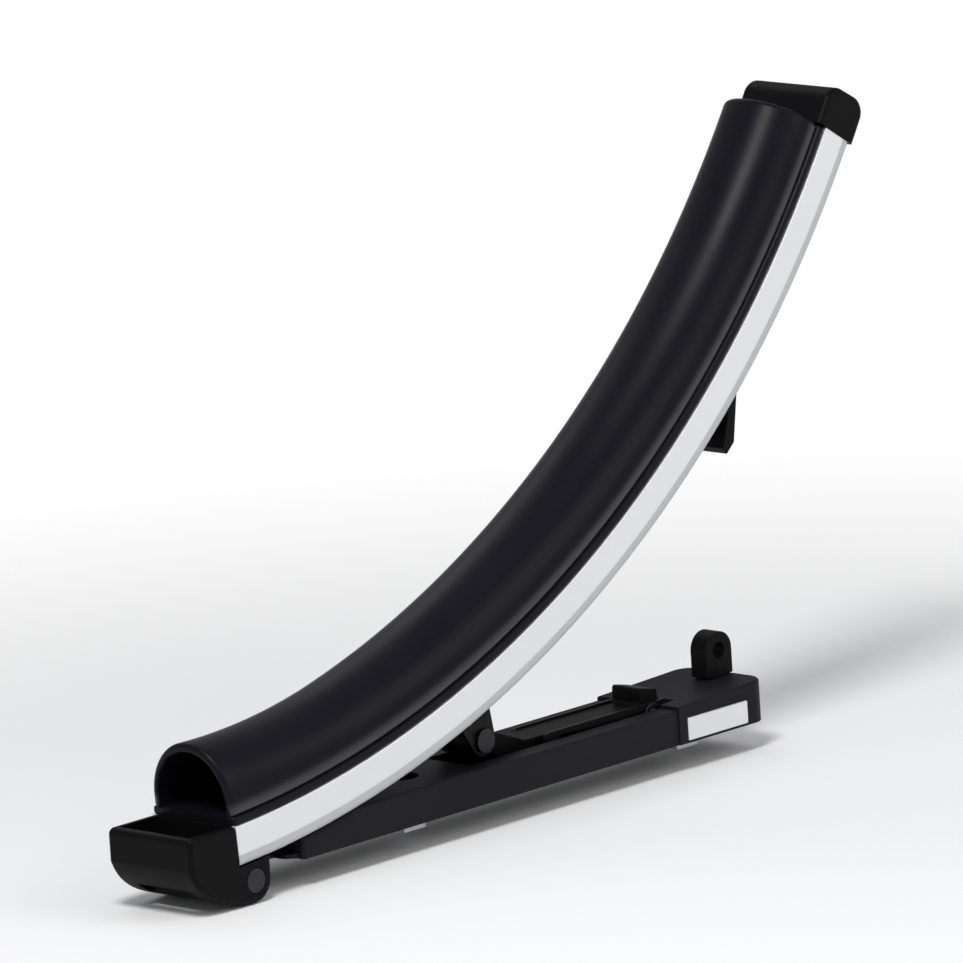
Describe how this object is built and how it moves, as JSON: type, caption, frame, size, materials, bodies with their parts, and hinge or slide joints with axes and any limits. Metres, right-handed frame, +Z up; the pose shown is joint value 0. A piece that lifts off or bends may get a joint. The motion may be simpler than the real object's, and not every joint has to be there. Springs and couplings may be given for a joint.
{
  "type": "kayak carrier",
  "caption": "Curved padded arm that carries a kayak on a roof bar: hinged at its scoop-shaped foot, propped by a strut in a notched rail, on a housed base held by T-bolts.",
  "frame": {"origin": "middle of the main rubber seat's underside, the face that lies on the roof bar, halfway between the T-bolts", "axes": "+X inboard along the roof bar, from the foot to the strap post; +Y along the vehicle; +Z up"},
  "size_m": [0.5886, 0.0672, 0.3728],
  "materials": {
    "arm_aluminium": "satin anodised",
    "pad_rubber": "satin moulded",
    "seat_rubber": "matt",
    "black_steel": "satin black powder coat",
    "housing_plastic": "fine moulded grain",
    "black_plastic": "fine moulded grain",
    "bush_plastic": "smooth",
    "fastener_steel": "zinc plated",
    "pin_steel": "black zinc plated"
  },
  "bodies": {
    "base": {"base_plate": "black_steel", "seat_pads": "seat_rubber", "track_bolts": "fastener_steel", "track_nuts": "fastener_steel", "strut_rail": "black_steel", "rail_screws": "fastener_steel", "base_housing": "housing_plastic", "end_cover": "housing_plastic", "housing_screws": "fastener_steel", "strap_post": "black_plastic", "post_screw": "fastener_steel", "hinge_pin": "pin_steel", "hinge_clip": "pin_steel"},
    "arm": {"arm_beam": "arm_aluminium", "arm_pad": "pad_rubber", "tip_cap": "black_plastic", "tip_screws": "fastener_steel", "foot_block": "black_plastic", "foot_screws": "fastener_steel", "hinge_bushes": "bush_plastic", "strap_hook": "black_plastic", "hook_screws": "fastener_steel", "strut_bracket": "black_steel", "bracket_rivets": "fastener_steel", "pivot_pin": "pin_steel", "pivot_clip": "pin_steel"},
    "strut": {"strut": "black_plastic", "slide_pin": "pin_steel", "slide_clips": "pin_steel"}
  },
  "joints": [
    {"name": "arm_tilt", "type": "hinge", "parent": "base", "child": "arm", "pos_m": [-0.268, 0, -0.00205], "axis": [0, -1, 0], "range_deg": [0, 25]},
    {"name": "strut_swing", "type": "hinge", "parent": "arm", "child": "strut", "pos_m": [-0.06, 0, 0.03233], "axis": [0, 1, 0], "range_deg": [0, 63.92]}
  ],
  "couplings": [
    {"joint": "strut_swing", "follows": "arm_tilt", "ratio": 2.5548}
  ]
}
